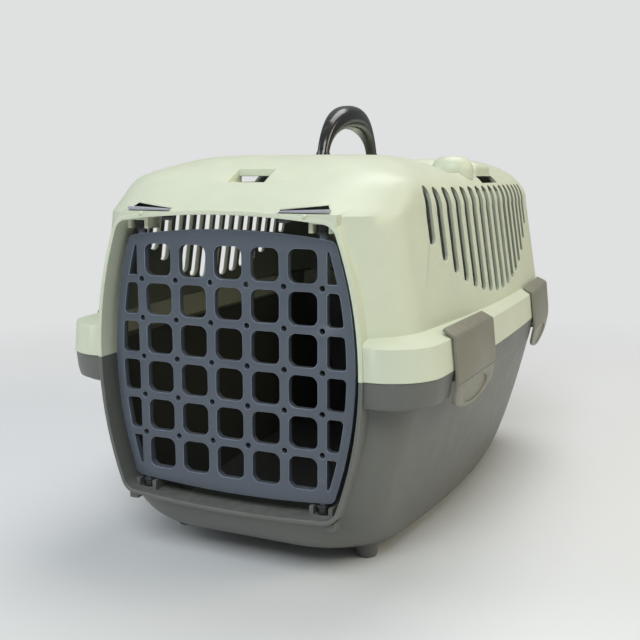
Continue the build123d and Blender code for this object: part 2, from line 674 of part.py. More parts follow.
def door_window(row, side):
    """Window between a side post and the door's bowed border in one row."""
    height = RIM_MID_Z + (row - (GRID_ROWS - 1) / 2) * GRID_PITCH
    rounding = SIDE_WINDOW_RADIUS if 0 < row < GRID_ROWS - 1 else END_WINDOW_RADIUS
    border = barrel_outline(WALL + DOOR_SIDE_GAP + DOOR_BORDER, WALL + DOOR_TOP_GAP, WALL + DOOR_BOTTOM_GAP,
                            DOOR_CORNER_RADIUS)
    post_edge = PIN_X + (GRID_PITCH - WINDOW_WIDTH) / 2
    with BuildSketch() as window:
        add(border)
        with Locations((side * (post_edge + GRID_PITCH), height)):
            Rectangle(2 * GRID_PITCH, WINDOW_HEIGHT, mode=Mode.INTERSECT)
        offset(amount=-rounding, mode=Mode.REPLACE)
        offset(amount=rounding, mode=Mode.REPLACE)
    return window.sketch


# Grille door
door_face = barrel_outline(WALL + DOOR_SIDE_GAP, WALL + DOOR_TOP_GAP, WALL + DOOR_BOTTOM_GAP,
                           DOOR_CORNER_RADIUS)
side_windows = [door_window(row, side) for row in range(GRID_ROWS) for side in SIDES]
low_flange_z = low_pin_z + PIN_LENGTH
high_flange_z = high_pin_z - PIN_LENGTH
with BuildPart() as door_grille:
    with BuildSketch(Plane.XZ.offset(-DOOR_FRONT_Y)):
        add(door_face)
        with Locations((0, RIM_MID_Z)):
            with GridLocations(GRID_PITCH, GRID_PITCH, GRID_COLUMNS, GRID_ROWS):
                RectangleRounded(WINDOW_WIDTH, WINDOW_HEIGHT, WINDOW_RADIUS, mode=Mode.SUBTRACT)
            with GridLocations(GRID_PITCH, GRID_PITCH, GRID_COLUMNS + 1, GRID_ROWS - 1):
                Circle(CROSSING_HOLE_RADIUS, mode=Mode.SUBTRACT)
        add(side_windows, mode=Mode.SUBTRACT)
    extrude(amount=-DOOR_THICKNESS)
    for x in (-PIN_X, PIN_X):
        for start_z, way in ((low_flange_z, 1), (high_flange_z, -1)):
            with BuildSketch(Plane.XY.offset(start_z)):
                with Locations((x, PIN_Y)):
                    Circle(PIN_STUB_RADIUS)
            extrude(amount=way * STUB_LENGTH)
            with BuildSketch(Plane.XY.offset(start_z)):
                with Locations((x, PIN_Y)):
                    Circle(PIN_TENON_RADIUS + FIT_CLEARANCE)
            extrude(amount=way * PIN_TENON_LENGTH, mode=Mode.SUBTRACT)
save(door_grille, "door_grille")

# Door pins: a bearing cylinder, a flange against the door's stub and a tenon into it
tenon_length = PIN_FLANGE_HEIGHT + PIN_TENON_LENGTH - TENON_END_GAP
for level, flange_z, way in (("bottom", low_flange_z, 1), ("top", high_flange_z, -1)):
    for x, name in ((-PIN_X, "left"), (PIN_X, "right")):
        with BuildPart() as pin:
            for start, length, radius in ((0, -PIN_FLANGE_HEIGHT, PIN_FLANGE_RADIUS),
                                          (0, -PIN_LENGTH, PIN_RADIUS),
                                          (-PIN_FLANGE_HEIGHT, tenon_length, PIN_TENON_RADIUS)):
                with BuildSketch(Plane.XY.offset(flange_z + way * start)):
                    with Locations((x, PIN_Y)):
                        Circle(radius)
                extrude(amount=way * length)
        save(pin, f"door_pin_{level}_{name}")

# Levers on the visor: a key plate, a shaft through the ledge and a head below it
for side, name in zip(SIDES, ("left", "right")):
    shaft_x = side * LEVER_PIVOT_X
    with BuildPart() as lever:
        with BuildSketch(Plane.XY.offset(LEDGE_Z + LEVER_LIFT)):
            with Locations((shaft_x, LEVER_PIVOT_Y)):
                Circle(LEVER_WIDTH / 2)
            with Locations((shaft_x + side * LEVER_REACH / 2, LEVER_PIVOT_Y)):
                RectangleRounded(LEVER_REACH, LEVER_WIDTH, LEVER_WIDTH / 4)
        extrude(amount=LEVER_THICKNESS)
        with BuildSketch(Plane.XY.offset(LEDGE_Z + LEVER_LIFT)):
            with Locations((shaft_x, LEVER_PIVOT_Y)):
                Circle(LEVER_SHAFT_RADIUS)
        extrude(amount=-LEVER_SHAFT_LENGTH)
        with BuildSketch(Plane.XY.offset(LEDGE_Z + LEVER_LIFT - LEVER_SHAFT_LENGTH)):
            with Locations((shaft_x, LEVER_PIVOT_Y)):
                Circle(LEVER_HEAD_RADIUS)
        extrude(amount=LEVER_HEAD_HEIGHT)
    save(lever, f"door_lever_{name}")

# Clips: a plate that hooks over the lid's bevel, a knuckle on the tub's axle and a thumb tab
clip_path = [(TAB_INSET, -CLIP_TAB_DROP), (TAB_START, -CLIP_PIVOT_DROP), (0, 0),
             (-BELT_LEAN, BELT_LID_HEIGHT), (-BELT_LEAN - HOOK_REACH, BELT_LID_HEIGHT + HOOK_RISE)]
clip_half = CLIP_LENGTH / 2
clip_top = BELT_LID_HEIGHT + HOOK_RISE + 2 * CLIP_SKIN
clip_names = [f"{end}_{side}" for side in ("left", "right") for end in ("front", "rear")]
for seat, name in zip(seats, clip_names):
    inside = offset_path(clip_path, -CLIP_GAP)
    outside = offset_path(clip_path, -CLIP_GAP - CLIP_SKIN)
    along = Plane(origin=seat.origin, x_dir=seat.z_dir, z_dir=seat.x_dir)
    tab_run = Vector(outside[1][0] - outside[0][0], outside[1][1] - outside[0][1]).normalized()
    tab_mid = ((outside[1][0] + outside[0][0]) / 2, (outside[1][1] + outside[0][1]) / 2)
    tab_normal = seat.x_dir * tab_run.Y - Vector(0, 0, 1) * tab_run.X
    tab_point = seat.origin + seat.x_dir * tab_mid[0] + Vector(0, 0, 1) * tab_mid[1]
    with BuildPart() as clip:
        with BuildSketch(seat.offset(-CLIP_LENGTH / 2)) as profile:
            with BuildLine():
                Polyline(*inside, *reversed(outside), close=True)
            make_face()
            fillet(profile.vertices().sort_by_distance(outside[3])[0], CLIP_SKIN + CLIP_BEND_RADIUS)
            fillet(profile.vertices().sort_by_distance(inside[3])[0], CLIP_BEND_RADIUS)
        extrude(amount=CLIP_LENGTH)
        with BuildSketch(seat.offset(-CLIP_LENGTH / 2)):
            with Locations((outside[1][0] + GROOVE_INSET, outside[1][1] - GROOVE_DROP)):
                Circle(GROOVE_RADIUS)
        extrude(amount=CLIP_LENGTH, mode=Mode.SUBTRACT)
        with BuildSketch(seat.offset(-KNUCKLE_LENGTH / 2)):
            with Locations(CLIP_PIVOT):
                Circle(KNUCKLE_RADIUS)
        extrude(amount=KNUCKLE_LENGTH)
        with BuildSketch(along.offset(-KNUCKLE_LENGTH)) as frame:
            with BuildLine():
                tab_edge = ThreePointArc((-clip_half, CLIP_END_DROP), (0, CLIP_TAB_DROP),
                                         (clip_half, CLIP_END_DROP))
                Polyline(tab_edge @ 1, (clip_half, -clip_top), (-clip_half, -clip_top), tab_edge @ 0)
            make_face()
            fillet(frame.vertices().group_by(Axis.Z)[0], CLIP_TAB_RADIUS)
        extrude(amount=2 * KNUCKLE_LENGTH, mode=Mode.INTERSECT)
        with BuildSketch(Plane(origin=tab_point, x_dir=seat.z_dir, z_dir=tab_normal)):
            Ellipse(SCOOP_LENGTH / 2, SCOOP_HEIGHT / 2)
        extrude(amount=-SCOOP_DEPTH, mode=Mode.SUBTRACT)
        with BuildSketch(seat.offset(-KNUCKLE_LENGTH)):
            with Locations(CLIP_PIVOT):
                Circle(AXLE_RADIUS + SHAFT_CLEARANCE)
        extrude(amount=2 * KNUCKLE_LENGTH, mode=Mode.SUBTRACT)
    save(clip, f"clip_{name}")
    axle_length = KNUCKLE_LENGTH + 2 * (EAR_THICKNESS + RUNNING_GAP)
    with BuildPart() as axle:
        with BuildSketch(seat.offset(-axle_length / 2)):
            with Locations(CLIP_PIVOT):
                Circle(AXLE_RADIUS)
        extrude(amount=axle_length)
    save(axle, f"clip_axle_{name}")

# Handle: an arch with a wide grip, slim legs and an eye at each foot
arch_height = HANDLE_TOP_Z - HANDLE_PIVOT_Z
taper_low_z = HANDLE_PIVOT_Z + HANDLE_NECK_HEIGHT
taper_high_z = HANDLE_TOP_Z - HANDLE_FLARE_DROP
inner_half_span = HANDLE_HALF_SPAN - HANDLE_LEG_LENGTH
leg_half = HANDLE_LEG_WIDTH / 2
grip_half = HANDLE_GRIP_WIDTH / 2
with BuildPart() as handle:
    with BuildSketch(Plane.YZ) as arch:
        with Locations((0, HANDLE_PIVOT_Z)):
            Ellipse(HANDLE_HALF_SPAN, arch_height)
            Ellipse(inner_half_span, arch_height - HANDLE_GRIP_HEIGHT, mode=Mode.SUBTRACT)
        with Locations((0, HANDLE_PIVOT_Z)):
            Rectangle(2 * HANDLE_HALF_SPAN, arch_height, align=(Align.CENTER, Align.MIN),
                      mode=Mode.INTERSECT)
    extrude(amount=HANDLE_GRIP_WIDTH / 2, both=True)
    with BuildSketch(Plane.XZ.offset(-HANDLE_HALF_SPAN)):
        with BuildLine():
            Polyline((leg_half, HANDLE_PIVOT_Z), (leg_half, taper_low_z), (grip_half, taper_high_z),
                     (grip_half, HANDLE_TOP_Z), (-grip_half, HANDLE_TOP_Z), (-grip_half, taper_high_z),
                     (-leg_half, taper_low_z), (-leg_half, HANDLE_PIVOT_Z), close=True)
        make_face()
    extrude(amount=2 * HANDLE_HALF_SPAN, mode=Mode.INTERSECT)
    for end in ENDS:
        with BuildSketch(Plane.XZ.offset(-end * HANDLE_HALF_SPAN)):
            with Locations((0, HANDLE_PIVOT_Z)):
                Circle(HANDLE_EYE_RADIUS)
        extrude(amount=end * HANDLE_LEG_LENGTH)
    with BuildSketch(Plane.XZ.offset(-HANDLE_HALF_SPAN)):
        with Locations((0, HANDLE_PIVOT_Z)):
            Circle(HANDLE_PIN_RADIUS + SHAFT_CLEARANCE)
    extrude(amount=2 * HANDLE_HALF_SPAN, mode=Mode.SUBTRACT)
save(handle, "handle")

for end, name in zip(ENDS, ("front", "rear")):
    pin_length = handle_pin_end - inner_half_span
    with BuildPart() as handle_pin:
        with BuildSketch(Plane.XZ.offset(-end * inner_half_span)):
            with Locations((0, HANDLE_PIVOT_Z)):
                Circle(HANDLE_PIN_RADIUS)
        extrude(amount=-end * pin_length)
    save(handle_pin, f"handle_pin_{name}")
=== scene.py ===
"""Studio scene of a small animal carrier: moulded shells, grille door, clips, levers and folding handle."""

import logging
import math
from dataclasses import dataclass
from enum import Enum

import bmesh
import bpy
from mathutils import Matrix, Vector

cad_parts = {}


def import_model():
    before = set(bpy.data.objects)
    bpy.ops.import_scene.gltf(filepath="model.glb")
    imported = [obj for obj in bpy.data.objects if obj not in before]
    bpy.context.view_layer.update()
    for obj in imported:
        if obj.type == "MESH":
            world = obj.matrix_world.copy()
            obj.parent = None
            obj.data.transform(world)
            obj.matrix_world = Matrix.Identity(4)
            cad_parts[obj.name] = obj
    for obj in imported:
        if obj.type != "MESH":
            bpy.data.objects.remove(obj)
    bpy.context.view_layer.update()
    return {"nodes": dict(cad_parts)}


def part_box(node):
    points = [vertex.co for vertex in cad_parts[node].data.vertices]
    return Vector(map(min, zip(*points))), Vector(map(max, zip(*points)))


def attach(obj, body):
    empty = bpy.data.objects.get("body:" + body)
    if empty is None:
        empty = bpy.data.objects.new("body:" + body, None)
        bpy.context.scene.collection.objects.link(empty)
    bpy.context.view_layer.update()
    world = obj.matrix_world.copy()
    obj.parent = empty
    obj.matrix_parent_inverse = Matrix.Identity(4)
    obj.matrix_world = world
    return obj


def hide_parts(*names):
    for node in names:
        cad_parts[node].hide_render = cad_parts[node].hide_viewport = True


log = logging.getLogger("carrier")

MM = 0.001
WELD_MM = 0.002
FLAT_DEGREES = 0.4
# Per-vertex mark for lighter edges, partly rubbed and partly painted highlight.
WEAR_AND_HIGHLIGHT = "wear"
# Per-face share of painted shade, which darkens the colour where shade would fall.
SHADE = "shade"
Colour = tuple[float, float, float]
Triple = tuple[float, float, float]
Range = tuple[float, float]
NONE_TO_ALL: Range = (0.0, 1.0)


class Sheen(Enum):
    """How the surface of a moulding came out of its tool."""

    GRAINED = "grained"
    SATIN = "satin"
    POLISHED = "polished"


@dataclass(frozen=True)
class Waves:
    """A noise pattern: waves per metre, octaves and the share of each finer octave."""

    per_metre: float
    octaves: float = 2.0
    finer_share: float = 0.5


@dataclass(frozen=True)
class MouldedPlastic:
    """A moulded plastic: its colour, how it catches light, its scuffs, rubbed edges and dust, and the
    painted highlight on its edges and painted shade on marked faces.
    """

    name: str
    colour: Colour
    sheen: Sheen
    roughness: float
    roughness_spread: Range = (-0.05, 0.06)
    refraction: float = 1.49
    coat: float = 0.25
    coat_roughness: float = 0.08
    tone: Waves = Waves(7.0, 3.0, 0.55)
    cloud: Waves = Waves(55.0, 4.0, 0.6)
    cloud_share: float = 0.35
    cloud_range: Range = (0.2, 0.8)
    mottle: float = 0.05
    mottle_range: Range = (0.3, 0.7)
    # How much lighter folds and rounded edges are painted: partly rubbed, partly painted highlight.
    edge_lift: float = 0.25
    edge_base: float = 0.02
    edge_radius_mm: float = 0.9
    edge_samples: int = 6
    fold_range: Range = (0.985, 0.8)
    edge_break_range: Range = (0.35, 0.7)
    edge_break: Range = (0.3, 1.0)
    scuff: float = 0.12
    scuff_fade: float = 0.5
    scuff_roughness: float = 0.15
    scratch: Waves = Waves(1.0)
    scratch_stretch: Triple = (14.0, 420.0, 60.0)
    scratch_turn: Triple = (0.3, 0.5, 0.2)
    scratch_range: Range = (0.66, 0.74)
    patch: Waves = Waves(21.0)
    patch_range: Range = (0.5, 0.66)
    dust: float = 0.1
    dust_colour: Colour = (0.62, 0.6, 0.56)
    dust_slope: Range = (0.3, 1.0)
    dust_cloud: Waves = Waves(160.0, 3.0, 0.6)
    dust_range: Range = (0.42, 0.7)
    dust_break: Range = (0.2, 1.0)
    # How dark painted shade leaves a fully shaded face, as a share of the colour.
    painted_shade_share: float = 0.2
    ripple: Waves = Waves(38.0)
    ripple_depth_mm: float = 0.25
    ripple_strength: float = 0.25
    grain_size_mm: float = 0.7
    grain_depth_mm: float = 0.03
    grain_strength: float = 0.6
    smooth_strength: float = 0.3
    pit_density: float = 0.7
    pit_share: float = 0.6

    def build(self) -> bpy.types.Material:
        """Make the node material.

        Returns:
            The new material.
        """
        material = bpy.data.materials.new(self.name)
        material.use_nodes = True
        tree = material.node_tree
        shader = tree.nodes["Principled BSDF"]
        place = tree.nodes.new("ShaderNodeTexCoord").outputs["Object"]
        cloud = noise(tree, place, self.cloud)
        rounded = tree.nodes.new("ShaderNodeBevel")
        rounded.samples = self.edge_samples
        rounded.inputs["Radius"].default_value = self.edge_radius_mm * MM
        normal = rounded.outputs["Normal"]
        scuffs = self.scuffs(tree, place)

        colour = self.mottled(tree, place, cloud)
        # Painted highlight and rubbing: folds and rounded edges are lightened towards a brighter copy of
        # the colour.
        lifted = tuple(min(1.0, channel * (1 + self.edge_lift) + self.edge_base) for channel in self.colour)
        colour = mix_colour(tree, self.worn_and_highlighted_edges(tree, normal, cloud), colour, lifted)
        scuffed = tuple(self.scuff_fade + (1 - self.scuff_fade) * channel for channel in self.colour)
        colour = mix_colour(tree, combine(tree, "MULTIPLY", scuffs, self.scuff), colour, scuffed)
        colour = mix_colour(tree, self.settled_dust(tree, place), colour, self.dust_colour)
        # Painted shade: faces with a shade value are darkened towards a fraction of the colour.
        painted_shade_colour = tuple(channel * self.painted_shade_share for channel in self.colour)
        colour = mix_colour(tree, named_value(tree, SHADE), colour, painted_shade_colour)
        tree.links.new(colour, shader.inputs["Base Color"])

        least, most = self.roughness_spread
        uneven = remap(tree, cloud, self.cloud_range, (self.roughness + least, self.roughness + most))
        rough = combine(tree, "ADD", uneven, combine(tree, "MULTIPLY", scuffs, self.scuff_roughness))
        tree.links.new(rough, shader.inputs["Roughness"])
        tree.links.new(self.relief(tree, place, normal), shader.inputs["Normal"])
        shader.inputs["IOR"].default_value = self.refraction
        if self.sheen is Sheen.POLISHED:
            shader.inputs["Coat Weight"].default_value = self.coat
            shader.inputs["Coat Roughness"].default_value = self.coat_roughness
        return material

    def mottled(self, tree: bpy.types.NodeTree, place: bpy.types.NodeSocket,
                cloud: bpy.types.NodeSocket) -> bpy.types.NodeSocket:
        """Vary the colour a little over the piece.

        Args:
            tree: The material's node tree.
            place: The coordinates that it reads.
            cloud: The finer of its two patterns.

        Returns:
            The colour.
        """
        tone = blend_values(tree, noise(tree, place, self.tone), cloud, self.cloud_share)
        low = tuple(channel * (1 - self.mottle) for channel in self.colour)
        high = tuple(min(1.0, channel * (1 + self.mottle)) for channel in self.colour)
        return ramp(tree, tone, self.mottle_range, (low, high))

    def worn_and_highlighted_edges(self, tree: bpy.types.NodeTree, normal: bpy.types.NodeSocket,
                   cloud: bpy.types.NodeSocket) -> bpy.types.NodeSocket:
        """Find the folds and the rounded edges that are painted lighter: partly rubbed edges, partly
        painted highlight.

        Args:
            tree: The material's node tree.
            normal: The normal with its edges rounded.
            cloud: The pattern that breaks up the lighter edges.

        Returns:
            How far each place is lightened, as a rubbed edge and as painted highlight.
        """
        geometry = tree.nodes.new("ShaderNodeNewGeometry")
        facing = tree.nodes.new("ShaderNodeVectorMath")
        facing.operation = "DOT_PRODUCT"
        tree.links.new(normal, facing.inputs[0])
        tree.links.new(geometry.outputs["Normal"], facing.inputs[1])
        folded = remap(tree, facing.outputs["Value"], self.fold_range, NONE_TO_ALL)
        edge = combine(tree, "MAXIMUM", folded, named_value(tree, WEAR_AND_HIGHLIGHT))
        return combine(tree, "MULTIPLY", edge, remap(tree, cloud, self.edge_break_range, self.edge_break))

    def scuffs(self, tree: bpy.types.NodeTree, place: bpy.types.NodeSocket) -> bpy.types.NodeSocket:
        """Scatter fine scratches in patches.

        Args:
            tree: The material's node tree.
            place: The coordinates that it reads.

        Returns:
            Where the scratches are.
        """
        mapping = tree.nodes.new("ShaderNodeMapping")
        mapping.inputs["Scale"].default_value = self.scratch_stretch
        mapping.inputs["Rotation"].default_value = self.scratch_turn
        tree.links.new(place, mapping.inputs["Vector"])
        lines = noise(tree, mapping.outputs["Vector"], self.scratch)
        scratches = remap(tree, lines, self.scratch_range, NONE_TO_ALL)
        patches = remap(tree, noise(tree, place, self.patch), self.patch_range, NONE_TO_ALL)
        return combine(tree, "MULTIPLY", scratches, patches)

    def settled_dust(self, tree: bpy.types.NodeTree, place: bpy.types.NodeSocket) -> bpy.types.NodeSocket:
        """Let dust settle on the faces that look up.

        Args:
            tree: The material's node tree.
            place: The coordinates that it reads.

        Returns:
            How much dust lies on each place.
        """
        up = tree.nodes.new("ShaderNodeSeparateXYZ")
        geometry = tree.nodes.new("ShaderNodeNewGeometry")
        tree.links.new(geometry.outputs["Normal"], up.inputs["Vector"])
        flat = remap(tree, up.outputs["Z"], self.dust_slope, (0.0, self.dust))
        patches = remap(tree, noise(tree, place, self.dust_cloud), self.dust_range, self.dust_break)
        return combine(tree, "MULTIPLY", flat, patches)

    def relief(self, tree: bpy.types.NodeTree, place: bpy.types.NodeSocket,
               normal: bpy.types.NodeSocket) -> bpy.types.NodeSocket:
        """Lay a slow ripple and the tool's grain over the surface.

        Args:
            tree: The material's node tree.
            place: The coordinates that it reads.
            normal: The normal with its edges rounded.

        Returns:
            The normal with both.
        """
        grain = noise(tree, place, Waves(1 / (self.grain_size_mm * MM)))
        strength = self.smooth_strength
        if self.sheen is Sheen.GRAINED:
            strength = self.grain_strength
            pits = tree.nodes.new("ShaderNodeTexVoronoi")
            pits.inputs["Scale"].default_value = self.pit_density / (self.grain_size_mm * MM)
            tree.links.new(place, pits.inputs["Vector"])
            depth = combine(tree, "MULTIPLY", pits.outputs["Distance"], self.pit_share)
            grain = combine(tree, "ADD", grain, depth)
        wave = noise(tree, place, self.ripple)
        rippled = bump(tree, wave, normal, self.ripple_strength, self.ripple_depth_mm)
        return bump(tree, grain, rippled, strength, self.grain_depth_mm)


@dataclass(frozen=True)
class DrawnSteel:
    """Bright drawn steel of the hidden pins and axles."""

    name: str
    colour: Colour = (0.56, 0.57, 0.58)
    shadow: float = 0.85
    roughness: float = 0.3
    roughness_spread: Range = (-0.08, 0.1)
    lines: Waves = Waves(1.0)
    line_stretch: Triple = (900.0, 30.0, 900.0)
    colour_range: Range = (0.3, 0.7)
    roughness_range: Range = (0.2, 0.8)

    def build(self) -> bpy.types.Material:
        """Make the node material.

        Returns:
            The new material.
        """
        material = bpy.data.materials.new(self.name)
        material.use_nodes = True
        tree = material.node_tree
        shader = tree.nodes["Principled BSDF"]
        place = tree.nodes.new("ShaderNodeTexCoord").outputs["Object"]
        stretch = tree.nodes.new("ShaderNodeMapping")
        stretch.inputs["Scale"].default_value = self.line_stretch
        tree.links.new(place, stretch.inputs["Vector"])
        lines = noise(tree, stretch.outputs["Vector"], self.lines)
        low = tuple(channel * self.shadow for channel in self.colour)
        colour = ramp(tree, lines, self.colour_range, (low, self.colour))
        tree.links.new(colour, shader.inputs["Base Color"])
        least, most = self.roughness_spread
        rough = remap(tree, lines, self.roughness_range, (self.roughness + least, self.roughness + most))
        tree.links.new(rough, shader.inputs["Roughness"])
        shader.inputs["Metallic"].default_value = 1.0
        return material


def noise(tree: bpy.types.NodeTree, place: bpy.types.NodeSocket, waves: Waves) -> bpy.types.NodeSocket:
    """Add a noise texture.

    Args:
        tree: The material's node tree.
        place: The coordinates that it reads.
        waves: The pattern's size and detail.

    Returns:
        The noise's value.
    """
    node = tree.nodes.new("ShaderNodeTexNoise")
    node.inputs["Scale"].default_value = waves.per_metre
    node.inputs["Detail"].default_value = waves.octaves
    node.inputs["Roughness"].default_value = waves.finer_share
    tree.links.new(place, node.inputs["Vector"])
    return node.outputs["Fac"]


def bump(tree: bpy.types.NodeTree, height: bpy.types.NodeSocket, normal: bpy.types.NodeSocket,
         strength: float, depth_mm: float) -> bpy.types.NodeSocket:
    """Raise a pattern out of the surface.

    Args:
        tree: The material's node tree.
        height: The pattern.
        normal: The normal under it.
        strength: Share of the full effect.
        depth_mm: The pattern's full height.

    Returns:
        The new normal.
    """
    node = tree.nodes.new("ShaderNodeBump")
    node.inputs["Strength"].default_value = strength
    node.inputs["Distance"].default_value = depth_mm * MM
    tree.links.new(height, node.inputs["Height"])
    tree.links.new(normal, node.inputs["Normal"])
    return node.outputs["Normal"]


def named_value(tree: bpy.types.NodeTree, name: str) -> bpy.types.NodeSocket:
    """Read a piece's own value, which is 0 where the piece has none.

    Args:
        tree: The material's node tree.
        name: The attribute's name.

    Returns:
        The value.
    """
    node = tree.nodes.new("ShaderNodeAttribute")
    node.attribute_name = name
    return node.outputs["Fac"]


def remap(tree: bpy.types.NodeTree, value: bpy.types.NodeSocket, source: Range,
          target: Range) -> bpy.types.NodeSocket:
    """Map a value's range to another, clamped.

    Args:
        tree: The material's node tree.
        value: The value to map.
        source: Where the range starts and ends.
        target: What its start and its end become.

    Returns:
        The mapped value.
    """
    node = tree.nodes.new("ShaderNodeMapRange")
    node.inputs["From Min"].default_value = source[0]
    node.inputs["From Max"].default_value = source[1]
    node.inputs["To Min"].default_value = target[0]
    node.inputs["To Max"].default_value = target[1]
    tree.links.new(value, node.inputs["Value"])
    return node.outputs["Result"]


def combine(tree: bpy.types.NodeTree, operation: str, first: bpy.types.NodeSocket,
            second: bpy.types.NodeSocket | float) -> bpy.types.NodeSocket:
    """Join two values with a math node.

    Args:
        tree: The material's node tree.
        operation: The math node's operation.
        first: The first value.
        second: The second value, or a plain number.

    Returns:
        The result.
    """
    node = tree.nodes.new("ShaderNodeMath")
    node.operation = operation
    tree.links.new(first, node.inputs[0])
    if isinstance(second, float):
        node.inputs[1].default_value = second
    else:
        tree.links.new(second, node.inputs[1])
    return node.outputs["Value"]


def blend_values(tree: bpy.types.NodeTree, first: bpy.types.NodeSocket, second: bpy.types.NodeSocket,
                 share: float) -> bpy.types.NodeSocket:
    """Mix two values.

    Args:
        tree: The material's node tree.
        first: The value where share is 0.
        second: The value where share is 1.
        share: How much of the second.

    Returns:
        The mixed value.
    """
    node = tree.nodes.new("ShaderNodeMix")
    node.data_type = "FLOAT"
    node.inputs["Factor"].default_value = share
    tree.links.new(first, node.inputs["A"])
    tree.links.new(second, node.inputs["B"])
    return node.outputs["Result"]


def ramp(tree: bpy.types.NodeTree, value: bpy.types.NodeSocket, ends: Range,
         colours: tuple[Colour, Colour]) -> bpy.types.NodeSocket:
    """Turn a value into a colour.

    Args:
        tree: The material's node tree.
        value: The value that picks the colour.
        ends: Where each colour stands.
        colours: The two colours.

    Returns:
        The colour.
    """
    node = tree.nodes.new("ShaderNodeValToRGB")
    for element, position, colour in zip(node.color_ramp.elements, ends, colours):
        element.position = position
        element.color = (*colour, 1.0)
    tree.links.new(value, node.inputs["Fac"])
    return node.outputs["Color"]


def mix_colour(tree: bpy.types.NodeTree, share: bpy.types.NodeSocket, under: bpy.types.NodeSocket,
               over: Colour) -> bpy.types.NodeSocket:
    """Lay one plain colour over another by a share.

    Args:
        tree: The material's node tree.
        share: How much of the upper colour.
        under: The lower colour.
        over: The upper colour.

    Returns:
        The mixed colour.
    """
    node = tree.nodes.new("ShaderNodeMix")
    node.data_type = "RGBA"
    tree.links.new(share, node.inputs["Factor"])
    inputs = [socket for socket in node.inputs if socket.type == "RGBA"]
    tree.links.new(under, inputs[0])
    inputs[1].default_value = (*over, 1.0)
    return [socket for socket in node.outputs if socket.type == "RGBA"][0]


def clamped(share: float) -> float:
    """Keep a share between 0 and 1."""
    return min(1.0, max(0.0, share))


def between(ends: Range, share: float) -> float:
    """Give the value at a share of the way from one end to the other."""
    return ends[0] + (ends[1] - ends[0]) * share


def inside(low: Vector | Triple, place: Vector | Triple, high: Vector | Triple) -> bool:
    """Tell whether a place lies within a box."""
    return all(least < here < most for least, here, most in zip(low, place, high))


LID_PLASTIC = MouldedPlastic("lid_plastic", (0.59, 0.622, 0.475), Sheen.GRAINED, 0.42)
TUB_PLASTIC = MouldedPlastic("tub_plastic", (0.118, 0.121, 0.108), Sheen.GRAINED, 0.42)
# The door's large edge lift paints a strong highlight along its window edges.
DOOR_PLASTIC = MouldedPlastic("door_plastic", (0.078, 0.092, 0.115), Sheen.SATIN, 0.34, edge_lift=4.5)
CLIP_PLASTIC = MouldedPlastic("clip_plastic", (0.19, 0.182, 0.137), Sheen.SATIN, 0.4)
LEVER_PLASTIC = MouldedPlastic("lever_plastic", (0.36, 0.36, 0.41), Sheen.SATIN, 0.34)
PIN_PLASTIC = MouldedPlastic("pin_plastic", (0.012, 0.012, 0.013), Sheen.POLISHED, 0.24, edge_lift=1.5)
HANDLE_PLASTIC = MouldedPlastic("handle_plastic", (0.012, 0.0115, 0.0105), Sheen.POLISHED, 0.22,
                                edge_lift=0.5)
PIN_STEEL = DrawnSteel("pin_steel")


@dataclass(frozen=True)
class Rounding:
    """How a moulding's edges are rounded: the radius, its steps and the sharpest fold that stays."""

    radius_mm: float
    steps: int = 3
    fold_degrees: float = 40.0


@dataclass
class Moulding:
    """One moulded piece, worked up from the frame's own solid of the same place and size.

    Args:
        node: The frame's node that it stands for.
        piece: The new piece's name.
        body: The body that it rides.
        slot: The record's material slot; not used.
        material: The finish.
    """

    node: str
    piece: str
    body: str
    slot: str
    material: bpy.types.Material

    def merged(self, nodes: dict[str, bpy.types.Object]) -> bmesh.types.BMesh:
        """Copy the node's triangles and close them into one skin.

        Args:
            nodes: The frame's nodes.

        Returns:
            The merged skin.
        """
        skin = bmesh.new()
        skin.verts.layers.float.new(WEAR_AND_HIGHLIGHT)
        skin.faces.layers.float.new(SHADE)
        skin.from_mesh(nodes[self.node].data)
        bmesh.ops.remove_doubles(skin, verts=skin.verts, dist=WELD_MM * MM)
        return skin

    def finish(self, skin: bmesh.types.BMesh, smooth_degrees: float = 32.0) -> None:
        """Turn the skin into the piece, ride its body and take its node's place.

        Args:
            skin: The finished skin.
            smooth_degrees: Folds sharper than this stay crisp.
        """
        for edge in skin.edges:
            edge.smooth = edge.calc_face_angle(math.pi) < math.radians(smooth_degrees)
        for face in skin.faces:
            face.smooth = True
            face.material_index = 0
        mesh = bpy.data.meshes.new(self.piece)
        skin.to_mesh(mesh)
        skin.free()
        mesh.materials.clear()
        mesh.materials.append(self.material)
        obj = bpy.data.objects.new(self.piece, mesh)
        bpy.context.scene.collection.objects.link(obj)
        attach(obj, self.body)
        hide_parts(self.node)
        log.info("%s: %d faces", self.piece, len(mesh.polygons))


def round_edges(skin: bmesh.types.BMesh, edges: list[bmesh.types.BMEdge], rounding: Rounding) -> None:
    """Round some of a skin's edges, and mark the middle of each rounding to be painted lighter, partly as a
    rubbed edge and partly as a highlight.

    Args:
        skin: The skin.
        edges: The edges to round.
        rounding: Radius and steps.
    """
    rounded = bmesh.ops.bevel(skin, geom=edges, offset=rounding.radius_mm * MM, offset_type="OFFSET",
                              segments=rounding.steps, profile=0.5, affect="EDGES", clamp_overlap=True,
                              material=-1)
    strips = set(rounded["faces"])
    # The inner rows of each rounding get the mark that the material paints lighter, as rubbed edge and
    # highlight.
    wear = skin.verts.layers.float[WEAR_AND_HIGHLIGHT]
    for vert in rounded["verts"]:
        if strips.issuperset(vert.link_faces):
            vert[wear] = 1.0


def flat_faces_joined(skin: bmesh.types.BMesh) -> None:
    """Join the triangles of each flat face, so that an edge can be rounded along its whole run.

    Args:
        skin: The skin.
    """
    bmesh.ops.dissolve_limit(skin, angle_limit=math.radians(FLAT_DEGREES), verts=skin.verts,
                             edges=skin.edges, delimit={"NORMAL"})


